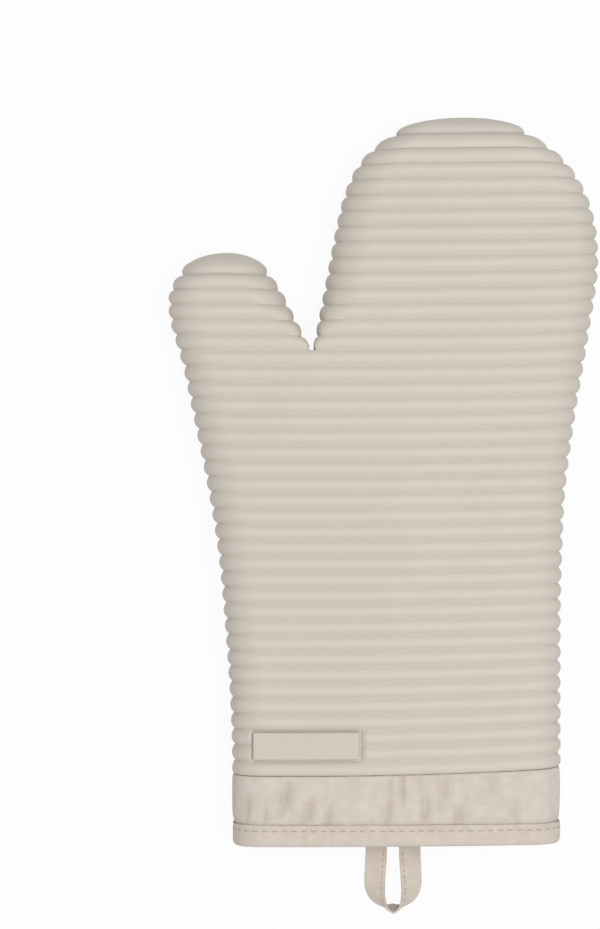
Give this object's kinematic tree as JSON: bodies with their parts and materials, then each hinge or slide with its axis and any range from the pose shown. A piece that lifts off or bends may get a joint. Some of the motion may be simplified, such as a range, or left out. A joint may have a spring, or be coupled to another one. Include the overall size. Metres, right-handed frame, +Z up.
{
  "type": "oven mitt",
  "caption": "Ribbed moulded silicone mitt with a padded hand cavity, separate thumb, sewn cloth cuff and hanging loop, for gripping hot cookware.",
  "frame": {"origin": "on the floor under the middle of the box round the mitt and its loop, the mitt lying on its back", "axes": "+Y from hem to fingertips, -X towards the thumb, +Z up out of the palm face"},
  "size_m": [0.195, 0.3627, 0.0383],
  "materials": {
    "silicone": "matte moulded silicone",
    "wadding": "needled polyester wadding",
    "lining": "brushed cotton",
    "cuff_cloth": "plain woven cotton",
    "binding": "folded woven tape",
    "thread": "sewing thread",
    "tape": "folded woven tape"
  },
  "bodies": {
    "mitt": {"silicone_shell": "silicone", "palm_wadding": "wadding", "back_wadding": "wadding", "palm_lining": "lining", "back_lining": "lining", "cuff_band": "cuff_cloth", "hem_binding": "binding", "hem_stitches": "thread", "flange_stitches": "thread", "loop_tails": "tape"},
    "loop": {"hanging_loop": "tape"}
  },
  "joints": [
    {"name": "loop_swing", "type": "hinge", "parent": "mitt", "child": "loop", "pos_m": [0.005, -0.1495, 0.004], "axis": [1, 0, 0], "range_deg": [-80, 80]}
  ]
}
